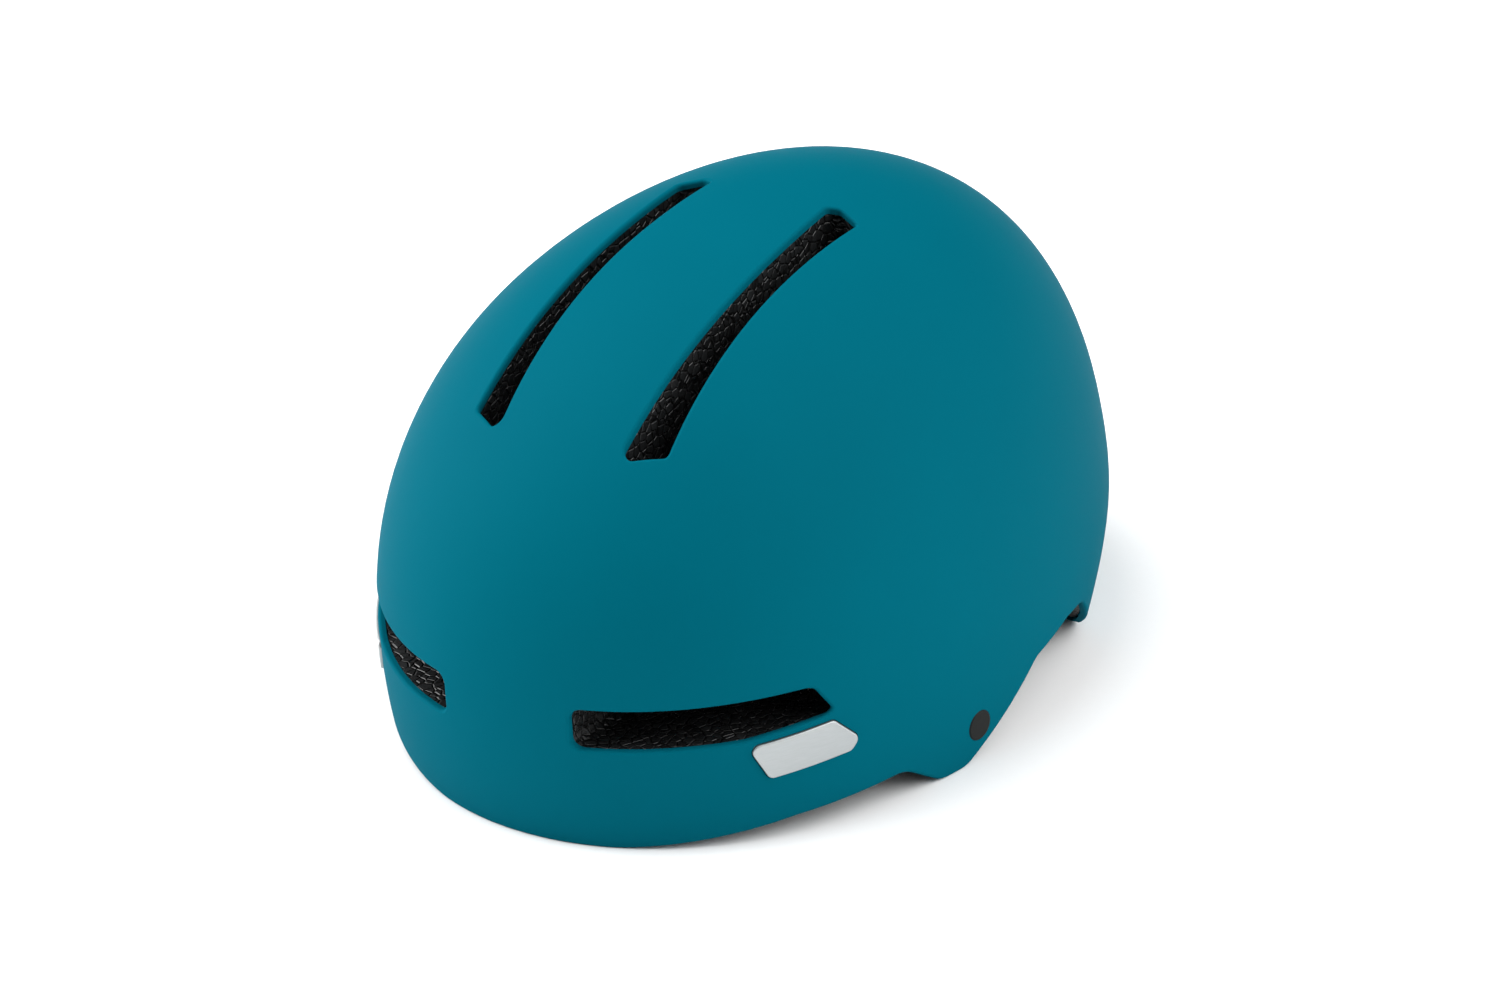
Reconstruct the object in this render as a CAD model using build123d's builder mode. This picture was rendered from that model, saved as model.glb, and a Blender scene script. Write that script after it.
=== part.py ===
"""Urban cycling helmet: moulded shell, foam liner, strap harness and dial fit system.

The helmet stands on a floor, +Z up, forehead towards -Y, the wearer's left at +X.
The origin is on the floor, under the middle of the helmet.
"""

from math import acos, asin, atan2, cos, degrees, hypot, pi, radians, sin
import os

from build123d import *

os.makedirs("parts", exist_ok=True)

# ---------------------------------------------------------------- driving sizes, mm and degrees
# Outer dome, measured from its centre at the height of the widest section
SHELL_HALF_WIDTH = 108.0
SHELL_FRONT = 139.7
SHELL_REAR = 157.6
SHELL_CROWN = 116.9
SHELL_SIDE_DROP = 147.1
SHELL_NAPE_DROP = 60.4
EQUATOR_HEIGHT = 28.6
PLAN_EXPONENT = 2.03
PROFILE_EXPONENT = 2.32
TAPER = 0.065
LEAN = -0.035
SWEEP = 0.049
NOSE_PITCH = 4.65
REST_LIFT = 11.18
REST_SHIFT = -6.2

SHELL_WALL = 2.4
LINER_GAP = 0.2
LINER_SIDE = 21.5
LINER_FRONT = 31.5
LINER_REAR = 35.5
LINER_CROWN = 27.5
LINER_NAPE = -10.0

# Rim, seen from the side
RIM_REST = 0.0
RIM_FRONT_FLAT = -136.0
NOTCH_Y = -67.5
NOTCH_HEIGHT = 10.2
LOBE_FRONT = -52.5
LOBE_REAR = -41.0
ARCH_HEIGHT = 24.2
ARCH_FRONT = -2.0
ARCH_REAR = 36.0
NAPE_FRONT = 57.0
LINER_LIFT = 1.5
RIM_ROUND = 1.0
RIM_CORNER = 10.0
DIAL_BAY_HALF = 31.0
DIAL_BAY_HEIGHT = 30.0
DIAL_BAY_CORNER = 14.0

# Vents
VENT_CORNER = 2.4
BROW_VENT_CORNER = 3.8
VENT_ROUND = 1.0
FOAM_CLEARANCE = 0.3
FOAM_SET_BACK = 0.6
TOP_VENT_INNER = 22.4
TOP_VENT_OUTER = 34.2
TOP_VENT_FRONT = -108.7
TOP_VENT_REAR = 18.4
TOP_VENT_SLANT = 8.3
TOP_VENT_FLOOR = 100.0
BROW_VENT_INNER = 23.3
BROW_VENT_OUTER = 82.0
BROW_VENT_BEND = 68.0
BROW_VENT_REACH = 78.0
BROW_VENT_TIP = 86.3
BROW_VENT_LOW = 38.0
BROW_VENT_HIGH = 52.3
BROW_VENT_TIP_HEIGHT = 41.0

# Badge plate, in its own upright plane
BADGE_X = 81.0
BADGE_Y = -102.2
BADGE_TURN = 54.7
BADGE_OUTLINE = [(-17.6, 36.0), (-10.8, 23.3), (17.5, 25.9), (20.7, 29.8), (11.6, 38.7)]
BADGE_CORNER = 2.6
BADGE_ROUND = 0.5
BADGE_DEPTH = 1.4
BADGE_PROUD = 0.8
BADGE_CLEARANCE = 0.3
BADGE_REACH = 14.0

# Front strap rivets
RIVET_RADIUS = 5.2
RIVET_SHANK = 2.4
RIVET_DEPTH = 1.6
RIVET_X = 106.6
RIVET_Y = -35.7
RIVET_Z = 12.9
RIVET_SPLAY = 9.0
RIVET_HEAD_TILT = 10.0
RIVET_PROUD = 0.25
RIVET_ROUND = 0.6
RIVET_SEAT = 23.6
RIVET_UPSET = 3.8
RIVET_HEAD = 1.0
WASHER_RADIUS = 8.0
WASHER_WALL = 1.6
STRAP_SEAT_RADIUS = 14.0
FIT_CLEARANCE = 0.05
EDGE_REACH = 0.05

# Comfort pads and their hook dots
PAD_THICKNESS = 7.0
PAD_GAP = 1.5
DOT_GAP = 0.1
DOT_RADIUS = 8.0
BROW_PAD_HALF = 60.0
BROW_PAD_LOW = 15.0
BROW_PAD_HIGH = 34.5
CROWN_PAD_HALF = 17.0
CROWN_PAD_LENGTH = 120.0
CROWN_PAD_Y = -20.0
TOP_PAD_X = 50.0
TOP_PAD_WIDTH = 20.0
TOP_PAD_LENGTH = 70.0
SIDE_PAD_Y = 22.0
SIDE_PAD_Z = 66.0
SIDE_PAD_LENGTH = 52.0
SIDE_PAD_HEIGHT = 26.0

# Webbing harness
WEB_THICKNESS = 1.2
WEB_WIDTH = 15.0
WEB_LOW = 2.5
WEB_GAP = 0.25
WEB_BEND = 9.0
DIVIDER_X = 71.5
DIVIDER_Y = 24.0
DIVIDER_LENGTH = 20.0
DIVIDER_DEPTH = 8.0
DIVIDER_MARGIN = 1.6
STRAP_POCKET = 3.0
LEVER_THICKNESS = 2.6
LEVER_LENGTH = 14.0
LEVER_PIN = 1.1
EAR_WALL = 2.0
REAR_ANCHOR_X = 51.0
REAR_ANCHOR_Y = 53.0
REAR_ANCHOR_TURN = 48.0
ANCHOR_WIDTH = 16.0
ANCHOR_HEIGHT = 12.0
ANCHOR_REACH = 30.0
BUCKLE_Y = -84.0
BUCKLE_HALF = 24.0
BUCKLE_DEPTH = 9.0
BUCKLE_GAP = 0.3
BUCKLE_MARGIN = 1.5
BUCKLE_CORNER = 2.5
RAIL_DEPTH = 6.5
RAIL_NECK = 3.0
RAIL_HEAD = 6.0
RAIL_HEAD_LENGTH = 2.6
RAIL_FLOOR = 2.0
CHIN_PAD_THICKNESS = 7.0
CHIN_PAD_ROUTE = [(58.9, -47.9), (47.1, -69.9)]
CHIN_PAD_MARGIN = 1.6
STRAP_RING_FRONT = -2.0
STRAP_RING_WIDTH = 5.0
STRAP_RING_WALL = 2.0
SCREW_RADIUS = 1.2
SCREW_HEAD = 2.6
GRIP_NOTCHES = 24
RACK_TEETH = 9
LADDER_SLOT = 20.0

# Fit system: bands slide on arcs through the cradle, driven by a pinion
BAND_CENTRE_X = 9.0
BAND_CENTRE_Y = 7.5
BAND_RADIUS = 89.0
BAND_THICKNESS = 1.6
BAND_PLAY = 0.4
PINION_Z = 30.0
PINION_TEETH = 10
GEAR_MODULE = 1.0
TOOTH_HEIGHT = 0.8
TOOTH_THICKNESS = 1.1
RACK_GAP = 2.0
RACK_BACK = 2.5
RACK_END_X = 26.0
TEMPLE_PIN_Y = -34.0
TEMPLE_PIN_RADIUS = 1.9
TEMPLE_PIN_TIP = 61.0
TEMPLE_BOSS_X = 76.5
TEMPLE_BOSS_RADIUS = 5.0
TEMPLE_SLOT_HALF = 10.4
CRADLE_HALF = 22.0
CRADLE_FRONT = 89.0
CRADLE_SPLIT = 94.0
CRADLE_REAR = 99.0
CRADLE_WALL = 3.0
CRADLE_PAD = 4.5
SHAFT_RADIUS = 2.6
KNOB_RADIUS = 14.0
KNOB_LENGTH = 8.0
GRIP_THICKNESS = 1.6
LADDER_WIDTH = 16.0
LADDER_TOP = 84.0
LADDER_STUD_Z = 66.0
LADDER_STUD_BASE = 101.0
LADDER_STUD_TIP = 86.5

# ---------------------------------------------------------------- the dome surfaces
OUTER_SIZE = (SHELL_HALF_WIDTH, SHELL_FRONT, SHELL_REAR, SHELL_CROWN, SHELL_SIDE_DROP, SHELL_NAPE_DROP)
LINER_WALLS = (LINER_SIDE, LINER_FRONT, LINER_REAR, LINER_CROWN, 0.0, LINER_NAPE)
SAMPLES = 37
BLOCK_WIDTH = 2 * SHELL_HALF_WIDTH + 40
BLOCK_LENGTH = SHELL_FRONT + SHELL_REAR + 60
BLOCK_LOW = -8.0
BLOCK_HIGH = EQUATOR_HEIGHT + REST_LIFT + SHELL_CROWN + 25


def skin_size(depth):
    """Half sizes of the dome that lies this far inside the shell's outer face."""
    return tuple(size - depth for size in OUTER_SIZE)


def cavity_size(depth):
    """Half sizes of the dome that lies this far inside the liner's inner face."""
    inner = SHELL_WALL + LINER_GAP + depth
    return tuple(size - wall - inner for size, wall in zip(OUTER_SIZE, LINER_WALLS))


def dome_point(azimuth, polar, size):
    """Point of a dome in a direction: azimuth from the forehead, polar angle from the crown."""
    half_width, front, rear, crown, side_drop, nape_drop = size
    x = sin(polar) * sin(azimuth)
    y = -sin(polar) * cos(azimuth)
    z = cos(polar)
    reach = front if y < 0 else rear
    blend = min(max(0.2 - 0.8 * cos(azimuth), 0.0), 1.0)
    blend = blend * blend * (3 - 2 * blend)
    rise = crown if z > 0 else side_drop + (nape_drop - side_drop) * blend
    plan = abs(x / half_width) ** PLAN_EXPONENT + abs(y / reach) ** PLAN_EXPONENT
    profile = plan ** (PROFILE_EXPONENT / PLAN_EXPONENT) + abs(z / rise) ** PROFILE_EXPONENT
    radius = profile ** (-1 / PROFILE_EXPONENT)
    height = radius * z / 100
    x = radius * x * (1 - TAPER * max(height, -1.0))
    y = radius * y + 100 * height * (LEAN + SWEEP * height)
    z = radius * z + EQUATOR_HEIGHT
    pitch = radians(NOSE_PITCH)
    return (
        x,
        y * cos(pitch) - z * sin(pitch) + REST_SHIFT,
        y * sin(pitch) + z * cos(pitch) + REST_LIFT,
    )


def dome_face(size):
    """One smooth face over the whole dome, from the crown to below the floor."""
    rows = []
    for i in range(SAMPLES):
        row = []
        for j in range(SAMPLES):
            u = 2 * i / (SAMPLES - 1) - 1
            v = 2 * j / (SAMPLES - 1) - 1
            azimuth = atan2(u, v)
            spread = radians(128 - 16 * cos(azimuth))
            polar = spread * hypot(u, v) * (1 - 0.16 * u * u * v * v)
            row.append(dome_point(azimuth, polar, size))
        rows.append(row)
    return Face.make_surface_from_array_of_points(rows, tol=0.02, min_deg=3, max_deg=5)


def split_layer(outer_face, inner_face):
    """Keep what lies between two dome faces of the part being built."""
    split(bisect_by=outer_face, keep=Keep.TOP)
    split(bisect_by=inner_face, keep=Keep.BOTTOM)


def export(piece, name):
    """Label a finished piece and write its STEP file."""
    piece.part.label = name
    export_step(piece.part, f"parts/{name}.step")


# ---------------------------------------------------------------- outlines that cut the domes
def rim_outline(lift):
    """Side view of what lies below the rim: brow, notch, ear lobe, ear arch and nape."""
    low = BLOCK_LOW - 10
    rest = RIM_REST + lift
    with BuildSketch(Plane.YZ) as outline:
        with BuildLine():
            Polyline(
                (-BLOCK_LENGTH, low),
                (-BLOCK_LENGTH, rest),
                (RIM_FRONT_FLAT, rest),
                ((RIM_FRONT_FLAT + NOTCH_Y) / 2, NOTCH_HEIGHT * 0.66 + lift),
                (NOTCH_Y, NOTCH_HEIGHT + lift),
                (LOBE_FRONT, rest),
                (LOBE_REAR, rest),
                (ARCH_FRONT, ARCH_HEIGHT - 2.6 + lift),
                (ARCH_REAR - 14, ARCH_HEIGHT + lift),
                (ARCH_REAR, ARCH_HEIGHT - 1.4 + lift),
                (NAPE_FRONT, rest),
                (BLOCK_LENGTH, rest),
                (BLOCK_LENGTH, low),
                close=True,
            )
        make_face()
        upper = outline.vertices().filter_by(lambda v: low < v.Y and abs(v.X) < BLOCK_LENGTH - 1)
        fillet(upper, radius=RIM_CORNER)
    return outline.sketch


def dial_bay_outline():
    """Rear view of the arch that lets a hand reach the dial."""
    with BuildSketch(Plane.XZ) as outline:
        with Locations((0, BLOCK_LOW)):
            Rectangle(
                2 * DIAL_BAY_HALF,
                DIAL_BAY_HEIGHT - BLOCK_LOW,
                align=(Align.CENTER, Align.MIN),
            )
        fillet(outline.vertices().group_by(Axis.Z)[-1], radius=DIAL_BAY_CORNER)
    return outline.sketch


def top_vent_outline(side, margin, height=0.0):
    """Plan view of a roof vent: long sides slightly bowed, ends slanted."""
    front_inner = (side * TOP_VENT_INNER, TOP_VENT_FRONT)
    front_outer = (side * (TOP_VENT_OUTER + 1.2), TOP_VENT_FRONT + TOP_VENT_SLANT)
    rear_outer = (side * TOP_VENT_OUTER, TOP_VENT_REAR - 1.3)
    rear_tip = (side * (TOP_VENT_INNER + 3.4), TOP_VENT_REAR + 2.3)
    rear_inner = (side * (TOP_VENT_INNER - 0.4), TOP_VENT_REAR)
    middle = (TOP_VENT_FRONT + TOP_VENT_REAR) / 2
    with BuildSketch(Plane.XY.offset(height)) as outline:
        with BuildLine():
            Line(front_inner, front_outer)
            ThreePointArc(front_outer, (side * (TOP_VENT_OUTER - 0.6), middle), rear_outer)
            Polyline(rear_outer, rear_tip, rear_inner)
            ThreePointArc(rear_inner, (side * (TOP_VENT_INNER + 2.0), middle), front_inner)
        make_face()
        fillet(outline.vertices(), radius=VENT_CORNER)
        if margin:
            offset(amount=margin)
    return outline.sketch


def brow_vent_outline(side, margin, depth=0.0):
    """Front view of a forehead vent: square inner end, slanted outer end."""
    with BuildSketch(Plane.XZ.offset(depth)) as outline:
        with BuildLine():
            Polyline(
                (side * BROW_VENT_INNER, BROW_VENT_LOW),
                (side * BROW_VENT_BEND, BROW_VENT_LOW),
                (side * BROW_VENT_TIP, BROW_VENT_TIP_HEIGHT),
                (side * BROW_VENT_OUTER, BROW_VENT_HIGH - 0.5),
                (side * BROW_VENT_INNER, BROW_VENT_HIGH),
                close=True,
            )
        make_face()
        fillet(outline.vertices().sort_by(lambda v: abs(v.X))[:2], radius=BROW_VENT_CORNER)
        fillet(outline.vertices().sort_by(lambda v: abs(v.X))[-3:], radius=VENT_CORNER)
        if margin:
            offset(amount=margin)
    return outline.sketch


def badge_plane(side):
    """Upright plane on a badge, looking outwards."""
    turn = radians(BADGE_TURN)
    outward = (side * sin(turn), -cos(turn), 0)
    return Plane(origin=(side * BADGE_X, BADGE_Y, 0), x_dir=(side * cos(turn), sin(turn), 0), z_dir=outward)


def badge_outline(side, margin):
    """Slanted plate outline; its long sides run along the forehead vent."""
    plane = badge_plane(side)
    rise = plane.y_dir.Z
    points = [(along, rise * height) for along, height in BADGE_OUTLINE]
    with BuildSketch(plane.offset(-BADGE_REACH)) as outline:
        with BuildLine():
            Polyline(points, close=True)
        make_face()
        fillet(outline.vertices(), radius=BADGE_CORNER)
        if margin:
            offset(amount=margin)
    return outline.sketch


def rivet_plane(side):
    """Plane on the ear lobe, normal outwards, origin on the rivet's axis at the shell."""
    splay = radians(RIVET_SPLAY)
    return Plane(
        origin=(side * RIVET_X, RIVET_Y, RIVET_Z),
        x_dir=(0, 0, 1),
        z_dir=(side * cos(splay), -sin(splay), 0),
    )


def rivet_rod(side, radius, start, length):
    """Cylinder on the rivet's axis, from a depth under the shell outwards."""
    with BuildPart() as rod:
        with BuildSketch(rivet_plane(side).offset(-start)):
            Circle(radius)
        extrude(amount=length)
    return rod.part


def rivet_head(side, radius):
    """Cylinder that stands square to the shell where the rivet's flush head is."""
    tilt = radians(RIVET_HEAD_TILT)
    square = Plane(
        origin=(side * RIVET_X, RIVET_Y, RIVET_Z),
        x_dir=(0, 1, 0),
        z_dir=(side * cos(tilt), 0, -sin(tilt)),
    )
    with BuildPart() as rod:
        with BuildSketch(square.offset(-RIVET_DEPTH)):
            Circle(radius)
        extrude(amount=RIVET_DEPTH * 5)
    return rod.part


SIDES = {"left": 1, "right": -1}

# ---------------------------------------------------------------- dome faces shared by the pieces
face_proud = dome_face(skin_size(-BADGE_PROUD))
face_rivet = dome_face(skin_size(-RIVET_PROUD))
face_outer = dome_face(skin_size(0))
face_middle = dome_face(skin_size(BADGE_DEPTH))
face_wall = dome_face(skin_size(SHELL_WALL))
face_liner = dome_face(skin_size(SHELL_WALL + LINER_GAP))
face_cavity = dome_face(cavity_size(0))
face_dot = dome_face(cavity_size(DOT_GAP))
face_pad = dome_face(cavity_size(PAD_GAP))
face_dot_tip = dome_face(cavity_size(PAD_GAP - DOT_GAP))
face_pad_front = dome_face(cavity_size(PAD_GAP + PAD_THICKNESS))
washer_depth = RIVET_SEAT + 2 * WEB_GAP + WEB_THICKNESS
rivet_end = washer_depth + WASHER_WALL + FIT_CLEARANCE + RIVET_HEAD
anchor_turn = radians(REAR_ANCHOR_TURN)


# ---------------------------------------------------------------- outer shell
def on_face(part, face):
    """Edges of a part that lie on a dome face."""
    return part.edges().filter_by(lambda edge: face.distance_to(edge @ 0.5) < EDGE_REACH)


def around_vent(edge):
    """True where an edge on the shell's outer face goes around a vent."""
    middle = edge @ 0.5
    roof = abs(middle.X) < TOP_VENT_OUTER + VENT_CORNER and middle.Z > TOP_VENT_FLOOR
    brow = middle.Y < -BROW_VENT_REACH and BROW_VENT_LOW - 2 < middle.Z < BROW_VENT_HIGH + 2
    return roof or brow


def along_rim(edge):
    """True where an edge on the shell's outer face belongs to the rim or the dial bay."""
    return not around_vent(edge) and BLOCK_LOW / 2 < (edge @ 0.5).Z < DIAL_BAY_HEIGHT + 1


with BuildPart() as outer_shell:
    with Locations((0, 0, BLOCK_LOW)):
        Box(
            BLOCK_WIDTH,
            BLOCK_LENGTH,
            BLOCK_HIGH - BLOCK_LOW,
            align=(Align.CENTER, Align.CENTER, Align.MIN),
        )
    split_layer(face_outer, face_wall)
    extrude(rim_outline(0), amount=BLOCK_WIDTH, both=True, mode=Mode.SUBTRACT)
    extrude(dial_bay_outline(), amount=-BLOCK_LENGTH, mode=Mode.SUBTRACT)
    for side in (1, -1):
        extrude(top_vent_outline(side, 0, TOP_VENT_FLOOR), amount=BLOCK_HIGH, mode=Mode.SUBTRACT)
        extrude(brow_vent_outline(side, 0, BROW_VENT_REACH), amount=BLOCK_LENGTH, mode=Mode.SUBTRACT)
    fillet(on_face(outer_shell, face_outer).filter_by(around_vent), radius=VENT_ROUND)
    fillet(on_face(outer_shell, face_outer).filter_by(along_rim), radius=RIM_ROUND)
    for side in (1, -1):
        with BuildPart(mode=Mode.PRIVATE) as recess:
            extrude(badge_outline(side, BADGE_CLEARANCE), amount=2 * BADGE_REACH)
            split(bisect_by=face_middle, keep=Keep.BOTTOM)
        add(recess.part, mode=Mode.SUBTRACT)
        add(rivet_head(side, RIVET_RADIUS + FIT_CLEARANCE), mode=Mode.SUBTRACT)
        add(rivet_rod(side, RIVET_SHANK + FIT_CLEARANCE, 8, 12), mode=Mode.SUBTRACT)
export(outer_shell, "outer_shell")

# ---------------------------------------------------------------- foam liner
with BuildPart() as foam_liner:
    with Locations((0, 0, BLOCK_LOW)):
        Box(
            BLOCK_WIDTH,
            BLOCK_LENGTH,
            BLOCK_HIGH - BLOCK_LOW,
            align=(Align.CENTER, Align.CENTER, Align.MIN),
        )
    split_layer(face_liner, face_cavity)
    extrude(rim_outline(LINER_LIFT), amount=BLOCK_WIDTH, both=True, mode=Mode.SUBTRACT)
    extrude(dial_bay_outline(), amount=-BLOCK_LENGTH, mode=Mode.SUBTRACT)
    for side in (1, -1):
        extrude(top_vent_outline(side, FOAM_SET_BACK, TOP_VENT_FLOOR), amount=BLOCK_HIGH, mode=Mode.SUBTRACT)
        brow = brow_vent_outline(side, FOAM_SET_BACK, BROW_VENT_REACH)
        extrude(brow, amount=BLOCK_LENGTH, mode=Mode.SUBTRACT)
        add(rivet_rod(side, RIVET_SHANK + FOAM_CLEARANCE, RIVET_SEAT + 1, RIVET_SEAT + 8), mode=Mode.SUBTRACT)
        add(rivet_rod(side, STRAP_SEAT_RADIUS, RIVET_SEAT + 14, 14), mode=Mode.SUBTRACT)
export(foam_liner, "foam_liner")

# ---------------------------------------------------------------- badges and front strap rivets
for name, side in SIDES.items():
    with BuildPart() as badge:
        extrude(badge_outline(side, 0), amount=2 * BADGE_REACH)
        split_layer(face_proud, face_middle)
        fillet(on_face(badge, face_proud), radius=BADGE_ROUND)
    export(badge, f"badge_{name}")
    with BuildPart() as rivet:
        add(rivet_head(side, RIVET_RADIUS))
        split(bisect_by=face_rivet, keep=Keep.TOP)
        fillet(on_face(rivet, face_rivet), radius=RIVET_ROUND)
        add(rivet_rod(side, RIVET_SHANK, rivet_end, rivet_end - RIVET_DEPTH / 2))
        add(rivet_rod(side, RIVET_UPSET, rivet_end, RIVET_HEAD))
    export(rivet, f"rivet_{name}")

with BuildPart() as rivet_washers:
    for side in (1, -1):
        add(rivet_rod(side, WASHER_RADIUS, washer_depth + WASHER_WALL, WASHER_WALL))
        add(rivet_rod(side, RIVET_SHANK + FIT_CLEARANCE, washer_depth + 4, 8), mode=Mode.SUBTRACT)
export(rivet_washers, "rivet_washers")

# Anchors on the liner's inner face: rear strap plates, temple pins and the height stud
for name, side in SIDES.items():
    anchor_plane = Plane(
        origin=(side * REAR_ANCHOR_X, REAR_ANCHOR_Y, WEB_LOW + WEB_WIDTH / 2),
        x_dir=(0, 0, 1),
        z_dir=(side * sin(anchor_turn), cos(anchor_turn), 0),
    )
    with BuildPart() as rear_anchor:
        with BuildSketch(anchor_plane):
            RectangleRounded(ANCHOR_HEIGHT, ANCHOR_WIDTH, 2.5)
        extrude(amount=ANCHOR_REACH)
        split(bisect_by=face_dot, keep=Keep.TOP)
    export(rear_anchor, f"rear_anchor_{name}")
    with BuildPart() as temple_pin:
        with BuildSketch(Plane(origin=(side * TEMPLE_BOSS_X, TEMPLE_PIN_Y, PINION_Z), z_dir=(side, 0, 0))):
            Circle(TEMPLE_BOSS_RADIUS)
        extrude(amount=30, taper=-8)
        split(bisect_by=face_dot, keep=Keep.TOP)
        with BuildSketch(Plane(origin=(side * TEMPLE_PIN_TIP, TEMPLE_PIN_Y, PINION_Z), z_dir=(side, 0, 0))):
            Circle(TEMPLE_PIN_RADIUS)
        extrude(amount=TEMPLE_BOSS_X - TEMPLE_PIN_TIP)
        with BuildSketch(Plane(origin=(side * TEMPLE_PIN_TIP, TEMPLE_PIN_Y, PINION_Z), z_dir=(side, 0, 0))):
            Circle(TEMPLE_PIN_RADIUS + 1.6)
        extrude(amount=1.5)
    export(temple_pin, f"temple_pin_{name}")

with BuildPart() as height_stud:
    with BuildSketch(Plane(origin=(0, LADDER_STUD_BASE, LADDER_STUD_Z), z_dir=(0, 1, 0))):
        Circle(TEMPLE_BOSS_RADIUS)
    extrude(amount=30)
    split(bisect_by=face_dot, keep=Keep.TOP)
    with BuildSketch(Plane(origin=(0, LADDER_STUD_TIP, LADDER_STUD_Z), z_dir=(0, 1, 0))):
        Circle(TEMPLE_PIN_RADIUS)
    extrude(amount=LADDER_STUD_BASE - LADDER_STUD_TIP)
export(height_stud, "height_stud")

# ---------------------------------------------------------------- comfort pads
def pad_layer(outline, amount):
    """Pad of even thickness over the liner's inner face, under an outline."""
    with BuildPart() as pad:
        extrude(outline, amount=amount)
        split_layer(face_pad, face_pad_front)
    return pad


def plan_rectangle(x, y, width, length, corner):
    """Rounded rectangle seen from above, at the height where the crown starts."""
    with BuildSketch(Plane.XY.offset(TOP_VENT_FLOOR - 20)) as outline:
        with Locations((x, y)):
            RectangleRounded(width, length, corner)
    return outline.sketch


with BuildSketch(Plane.XZ.offset(BROW_VENT_REACH - 20)) as brow_outline:
    with Locations((0, (BROW_PAD_LOW + BROW_PAD_HIGH) / 2)):
        RectangleRounded(2 * BROW_PAD_HALF, BROW_PAD_HIGH - BROW_PAD_LOW, 8)
export(pad_layer(brow_outline.sketch, BLOCK_LENGTH / 2), "brow_pad")
export(pad_layer(plan_rectangle(0, CROWN_PAD_Y, 2 * CROWN_PAD_HALF, CROWN_PAD_LENGTH, 12), 80), "crown_pad")
for name, side in SIDES.items():
    outline = plan_rectangle(side * TOP_PAD_X, CROWN_PAD_Y + 5, TOP_PAD_WIDTH, TOP_PAD_LENGTH, 8)
    export(pad_layer(outline, 80), f"top_pad_{name}")
    with BuildSketch(Plane.YZ.offset(side * 50)) as side_outline:
        with Locations((SIDE_PAD_Y, SIDE_PAD_Z)):
            RectangleRounded(SIDE_PAD_LENGTH, SIDE_PAD_HEIGHT, 10)
    export(pad_layer(side_outline.sketch, side * 60), f"side_pad_{name}")

with BuildPart() as hook_dots:
    for y in (CROWN_PAD_Y - 35, CROWN_PAD_Y + 35):
        with BuildSketch(Plane.XY.offset(TOP_VENT_FLOOR - 20)):
            with Locations((0, y)):
                Circle(DOT_RADIUS)
        extrude(amount=80)
    for x in (-TOP_PAD_X, TOP_PAD_X):
        with BuildSketch(Plane.XY.offset(TOP_VENT_FLOOR - 20)):
            with Locations((x, CROWN_PAD_Y + 5)):
                Circle(DOT_RADIUS)
        extrude(amount=80)
    for x in (-BROW_PAD_HALF * 0.6, 0, BROW_PAD_HALF * 0.6):
        with BuildSketch(Plane.XZ.offset(BROW_VENT_REACH - 20)):
            with Locations((x, (BROW_PAD_LOW + BROW_PAD_HIGH) / 2)):
                Circle(DOT_RADIUS)
        extrude(amount=BLOCK_LENGTH / 2)
    for side in (1, -1):
        with BuildSketch(Plane.YZ.offset(side * 50)):
            with Locations((SIDE_PAD_Y, SIDE_PAD_Z)):
                Circle(DOT_RADIUS)
        extrude(amount=side * 60)
    split_layer(face_dot, face_dot_tip)
export(hook_dots, "hook_dots")


# ---------------------------------------------------------------- webbing harness
def web_face(route, bend, thickness):
    """Plan view of a band of webbing that follows a route with round bends."""
    with BuildSketch(Plane.XY.offset(WEB_LOW)) as outline:
        with BuildLine():
            if len(route) > 2:
                FilletPolyline(*route, radius=bend)
            else:
                Line(*route)
        trace(line_width=thickness)
    return outline.sketch


def mirrored(side, route):
    """The same route on the wearer's left (1) or right (-1)."""
    return [(side * x, y) for x, y in route]


def divider_box(side, growth):
    """Block of a strap divider, grown on every side; webbing is clear of it by the same growth."""
    with BuildPart() as block:
        with Locations((side * DIVIDER_X, DIVIDER_Y, WEB_LOW + WEB_WIDTH / 2)):
            Box(
                DIVIDER_DEPTH + 2 * growth,
                DIVIDER_LENGTH + 2 * growth,
                WEB_WIDTH + 2 * DIVIDER_MARGIN + 2 * growth,
            )
    return block.part


rivet_normal = rivet_plane(1).z_dir
tab_depth = RIVET_SEAT + WEB_GAP + WEB_THICKNESS / 2
tab_x = RIVET_X - tab_depth * rivet_normal.X
tab_y = RIVET_Y - tab_depth * rivet_normal.Y
tab_tangent = (-rivet_normal.Y, rivet_normal.X)
outer_lane = DIVIDER_X + 2.0
inner_lane = DIVIDER_X - 2.0
front_route = [
    (tab_x - 7 * tab_tangent[0], tab_y - 7 * tab_tangent[1]),
    (tab_x + 9 * tab_tangent[0], tab_y + 9 * tab_tangent[1]),
    (outer_lane, 2.0),
    (outer_lane, DIVIDER_Y - DIVIDER_LENGTH / 2 + STRAP_POCKET),
]
anchor_inward = (-sin(anchor_turn), -cos(anchor_turn))
rear_start = (
    REAR_ANCHOR_X + anchor_inward[0] * 2.2 + 6 * anchor_inward[1],
    REAR_ANCHOR_Y + anchor_inward[1] * 2.2 - 6 * anchor_inward[0],
)
rear_route = [
    rear_start,
    (rear_start[0] - 16 * anchor_inward[1], rear_start[1] + 16 * anchor_inward[0]),
    (DIVIDER_X, DIVIDER_Y + DIVIDER_LENGTH / 2 + 4),
    (DIVIDER_X, DIVIDER_Y + DIVIDER_LENGTH / 2 - STRAP_POCKET),
]
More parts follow.
